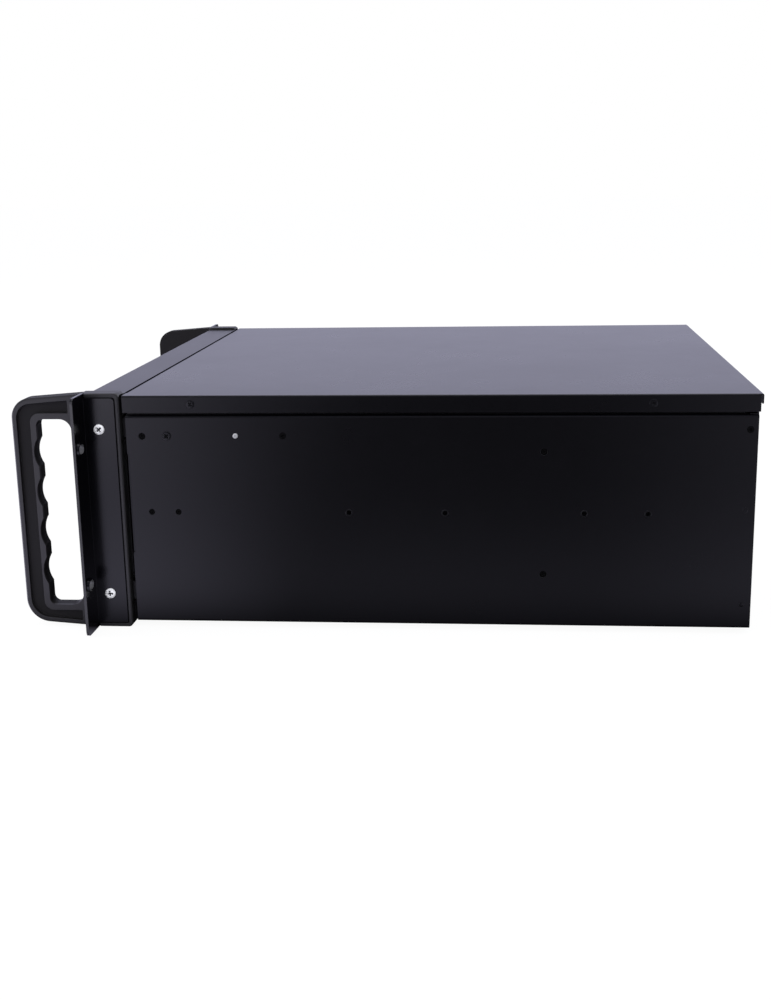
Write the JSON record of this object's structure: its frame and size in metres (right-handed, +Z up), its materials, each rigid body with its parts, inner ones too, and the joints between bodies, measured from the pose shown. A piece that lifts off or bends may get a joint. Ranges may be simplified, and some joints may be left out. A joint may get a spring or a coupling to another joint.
{
  "type": "rack server",
  "caption": "Black 19 inch rack server chassis with rack ears, moulded pull handles, lift-off lid, drive door, filter, fans, drives, board and power supply.",
  "frame": {"origin": "under the middle of the whole server, at the level of the feet", "axes": "+X to the right seen from the front, +Y to the rear, +Z up"},
  "size_m": [0.4826, 0.5372, 0.1775],
  "materials": {
    "black_paint": "satin powder coat with a fine texture",
    "black_plastic": "moulded, fine grain",
    "zinc_steel": "bright zinc plate",
    "lock_chrome": "polished",
    "filter_foam": "open-cell foam",
    "foot_rubber": "matt",
    "light_lens": "clear tinted lens",
    "circuit_board": "green solder mask",
    "connector_plastic": "moulded",
    "port_steel": "nickel plate",
    "aluminium": "machined and extruded",
    "brass": "turned",
    "fan_plastic": "moulded"
  },
  "bodies": {
    "chassis": {"base_tray": "black_paint", "front_plate": "black_paint", "rear_panel": "black_paint", "rubber_feet": "foot_rubber", "rack_ear_right": "black_paint", "rack_ear_left": "black_paint", "ear_screws": "zinc_steel", "bezel_end_cap_right": "black_plastic", "bezel_end_cap_left": "black_plastic", "handle_right": "black_plastic", "handle_left": "black_plastic", "front_bezel": "black_paint", "door_hinge_pins": "zinc_steel", "control_board": "circuit_board", "status_lights": "light_lens", "front_usb_ports": "port_steel", "drive_cage": "zinc_steel", "bay_covers": "black_plastic", "hdd_cage": "zinc_steel", "hard_drives": "aluminium", "support_bar": "zinc_steel", "motherboard": "circuit_board", "standoffs": "brass", "cpu_heatsink": "aluminium", "chipset_heatsink": "aluminium", "memory_sockets": "connector_plastic", "memory_modules": "circuit_board", "expansion_sockets": "connector_plastic", "board_power_socket": "connector_plastic", "io_ports": "port_steel", "io_shield": "zinc_steel", "slot_covers": "zinc_steel", "fan_frames": "fan_plastic", "psu_case": "zinc_steel", "psu_inlet": "connector_plastic"},
    "lid": {"top_cover": "black_paint"},
    "door": {"drive_door": "black_paint", "lock_housing": "black_plastic"},
    "lock": {"lock_plug": "lock_chrome", "lock_cam": "zinc_steel"},
    "filter": {"filter_cover": "black_plastic", "filter_screen": "filter_foam"},
    "power_button": {"power_button": "black_plastic"},
    "reset_button": {"reset_button": "black_plastic"},
    "front_fan": {"front_fan_rotor": "fan_plastic"},
    "rear_fan_right": {"rear_fan_rotor_right": "fan_plastic"},
    "rear_fan_left": {"rear_fan_rotor_left": "fan_plastic"},
    "psu_fan": {"psu_fan_rotor": "fan_plastic"},
    "rocker": {"psu_rocker": "connector_plastic"}
  },
  "joints": [
    {"name": "lid_lift", "type": "slide", "parent": "chassis", "child": "lid", "axis": [0, 0, 1], "range_m": [0, 0.15]},
    {"name": "door_swing", "type": "hinge", "parent": "chassis", "child": "door", "pos_m": [0.042, -0.21185, 0.089], "axis": [0, 0, -1], "range_deg": [0, 110]},
    {"name": "lock_turn", "type": "hinge", "parent": "door", "child": "lock", "pos_m": [0.184, -0.21185, 0.089], "axis": [0, 1, 0], "range_deg": [0, 90]},
    {"name": "filter_pull", "type": "slide", "parent": "chassis", "child": "filter", "axis": [0, -1, 0], "range_m": [0, 0.04]},
    {"name": "power_press", "type": "slide", "parent": "chassis", "child": "power_button", "axis": [0, 1, 0], "range_m": [0, 0.0025], "stiffness_N_per_m": 600},
    {"name": "reset_press", "type": "slide", "parent": "chassis", "child": "reset_button", "axis": [0, 1, 0], "range_m": [0, 0.0015], "stiffness_N_per_m": 600},
    {"name": "front_fan_spin", "type": "hinge", "parent": "chassis", "child": "front_fan", "pos_m": [-0.105, -0.17055, 0.089], "axis": [0, 1, 0], "continuous": true},
    {"name": "rear_fan_right_spin", "type": "hinge", "parent": "chassis", "child": "rear_fan_right", "pos_m": [0.06738, 0.25105, 0.10725], "axis": [0, 1, 0], "continuous": true},
    {"name": "rear_fan_left_spin", "type": "hinge", "parent": "chassis", "child": "rear_fan_left", "pos_m": [-0.01462, 0.25105, 0.10725], "axis": [0, 1, 0], "continuous": true},
    {"name": "psu_fan_spin", "type": "hinge", "parent": "chassis", "child": "psu_fan", "pos_m": [0.1628, 0.25005, 0.1117], "axis": [0, 1, 0], "continuous": true},
    {"name": "rocker_tilt", "type": "hinge", "parent": "chassis", "child": "rocker", "pos_m": [0.1628, 0.26185, 0.0527], "axis": [-1, 0, 0], "range_deg": [0, 18]}
  ]
}
